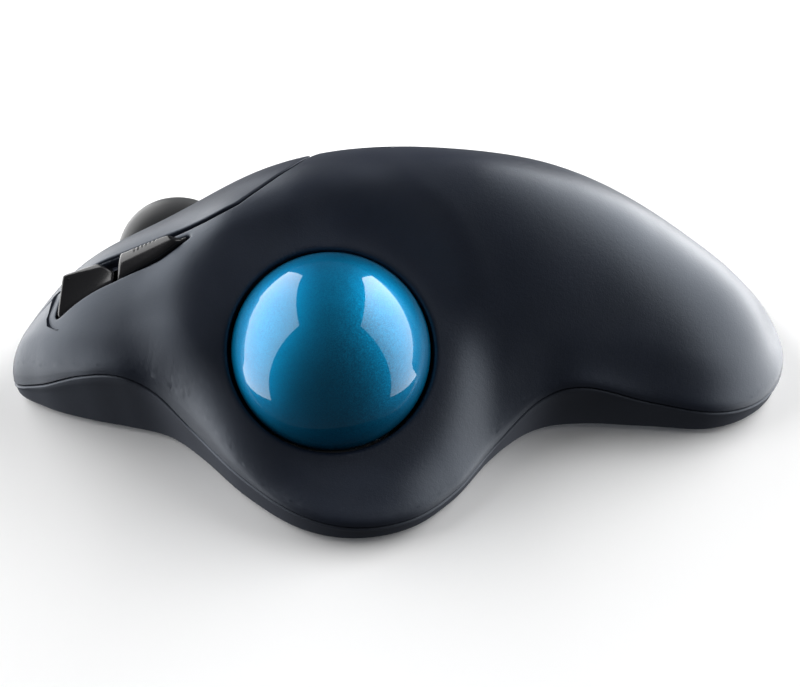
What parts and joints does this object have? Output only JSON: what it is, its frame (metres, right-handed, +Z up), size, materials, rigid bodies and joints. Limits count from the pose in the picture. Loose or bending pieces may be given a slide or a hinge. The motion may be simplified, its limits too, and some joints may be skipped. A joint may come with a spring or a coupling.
{
  "type": "trackball mouse",
  "caption": "Right-handed wireless thumb trackball: sculpted two-part case, side ball in a cup, click buttons, scroll wheel, thumb buttons and battery door.",
  "frame": {"origin": "centre of the bounding box at the level of the feet's undersides", "axes": "+X from the clicking end to the palm end, +Y away from the thumb and ball, +Z up"},
  "size_m": [0.1449, 0.0944, 0.0449],
  "materials": {
    "graphite_plastic": "satin, fine grained",
    "dark_graphite_plastic": "satin, fine grained",
    "black_plastic": "satin",
    "black_gloss_plastic": "gloss",
    "pearl_blue": "pearlescent gloss",
    "rubber": "smooth matte",
    "foot_pad": "low-friction pad",
    "steel": "bright",
    "cell_jacket": "printed jacket",
    "circuit_board": "solder mask",
    "clear_plastic": "clear",
    "smoked_plastic": "smoked, translucent",
    "ivory_plastic": "moulded"
  },
  "bodies": {
    "case": {"lower_shell": "dark_graphite_plastic", "upper_shell": "graphite_plastic", "status_light": "smoked_plastic", "ball_cup": "black_plastic", "ball_bearing_1": "steel", "ball_bearing_2": "steel", "ball_bearing_3": "steel", "sensor_lens": "clear_plastic", "sensor_chip": "black_plastic", "sensor_board": "circuit_board", "foot_1": "foot_pad", "foot_2": "foot_pad", "foot_3": "foot_pad", "foot_4": "foot_pad", "foot_5": "foot_pad", "case_screw_1": "steel", "case_screw_2": "steel", "case_screw_3": "steel", "case_screw_4": "steel", "battery_tray": "black_plastic", "battery_cell": "cell_jacket", "battery_contact_plus": "steel", "battery_contact_spring": "steel", "receiver_cap": "black_plastic", "receiver_plug": "steel", "power_switch_body": "black_plastic", "main_board": "circuit_board", "controller_chip": "black_plastic", "left_switch": "black_plastic", "right_switch": "black_plastic", "wheel_switch": "black_plastic", "thumb_button_board": "circuit_board", "forward_switch": "black_plastic", "back_switch": "black_plastic", "encoder_body": "black_plastic", "wheel_spring": "steel"},
    "trackball": {"trackball": "pearl_blue"},
    "left_button": {"left_button": "graphite_plastic"},
    "right_button": {"right_button": "graphite_plastic"},
    "forward_button": {"forward_button": "black_gloss_plastic"},
    "back_button": {"back_button": "black_gloss_plastic"},
    "wheel_carrier": {"wheel_carrier": "black_plastic"},
    "scroll_wheel": {"scroll_wheel_hub": "black_plastic", "scroll_wheel_tyre": "rubber", "scroll_wheel_axle": "steel", "encoder_rotor": "ivory_plastic"},
    "left_plunger": {"left_plunger": "ivory_plastic"},
    "right_plunger": {"right_plunger": "ivory_plastic"},
    "wheel_plunger": {"wheel_plunger": "ivory_plastic"},
    "forward_plunger": {"forward_plunger": "ivory_plastic"},
    "back_plunger": {"back_plunger": "ivory_plastic"},
    "battery_door": {"battery_door": "graphite_plastic"},
    "power_switch_knob": {"power_switch_knob": "black_plastic"}
  },
  "joints": [
    {"name": "ball_roll", "type": "hinge", "parent": "case", "child": "trackball", "pos_m": [-0.0121, -0.0207, 0.0219], "axis": [1, 0, 0], "continuous": true},
    {"name": "left_press", "type": "hinge", "parent": "case", "child": "left_button", "pos_m": [-0.012, 0.014, 0.025], "axis": [0, -1, 0], "range_deg": [0, 1], "stiffness_Nm_per_rad": 2, "springref_deg": -1.15},
    {"name": "right_press", "type": "hinge", "parent": "case", "child": "right_button", "pos_m": [-0.012, 0.015, 0.025], "axis": [0, -1, 0], "range_deg": [0, 1], "stiffness_Nm_per_rad": 2, "springref_deg": -1.15},
    {"name": "forward_press", "type": "slide", "parent": "case", "child": "forward_button", "axis": [0, 0, -1], "range_m": [0, 0.0006], "stiffness_N_per_m": 900, "springref_m": -0.0005},
    {"name": "back_press", "type": "slide", "parent": "case", "child": "back_button", "axis": [0, 0, -1], "range_m": [0, 0.0006], "stiffness_N_per_m": 900, "springref_m": -0.0005},
    {"name": "wheel_press", "type": "slide", "parent": "case", "child": "wheel_carrier", "axis": [0, -0.342, -0.9397], "range_m": [0, 0.0005], "stiffness_N_per_m": 1500, "springref_m": -0.0005, "deforming": ["wheel_spring"]},
    {"name": "wheel_spin", "type": "hinge", "parent": "wheel_carrier", "child": "scroll_wheel", "pos_m": [-0.0418, 0.011, 0.0186], "axis": [0, 0.9397, -0.342], "continuous": true},
    {"name": "left_plunge", "type": "slide", "parent": "case", "child": "left_plunger", "axis": [0, 0, -1], "range_m": [0, 0.0008]},
    {"name": "right_plunge", "type": "slide", "parent": "case", "child": "right_plunger", "axis": [0, 0, -1], "range_m": [0, 0.0008]},
    {"name": "wheel_plunge", "type": "slide", "parent": "case", "child": "wheel_plunger", "axis": [0, 0, -1], "range_m": [0, 0.0006]},
    {"name": "forward_plunge", "type": "slide", "parent": "case", "child": "forward_plunger", "axis": [0, 0, -1], "range_m": [0, 0.0007]},
    {"name": "back_plunge", "type": "slide", "parent": "case", "child": "back_plunger", "axis": [0, 0, -1], "range_m": [0, 0.0007]},
    {"name": "battery_door_lift", "type": "slide", "parent": "case", "child": "battery_door", "axis": [0, 0, -1], "range_m": [0, 0.012]},
    {"name": "power_switch_slide", "type": "slide", "parent": "case", "child": "power_switch_knob", "axis": [1, 0, 0], "range_m": [0, 0.004]}
  ],
  "couplings": [
    {"joint": "left_plunge", "follows": "left_press", "m_per_rad": 0.043},
    {"joint": "right_plunge", "follows": "right_press", "m_per_rad": 0.023},
    {"joint": "wheel_plunge", "follows": "wheel_press", "ratio": 0.9397},
    {"joint": "forward_plunge", "follows": "forward_press", "ratio": 1},
    {"joint": "back_plunge", "follows": "back_press", "ratio": 1}
  ]
}
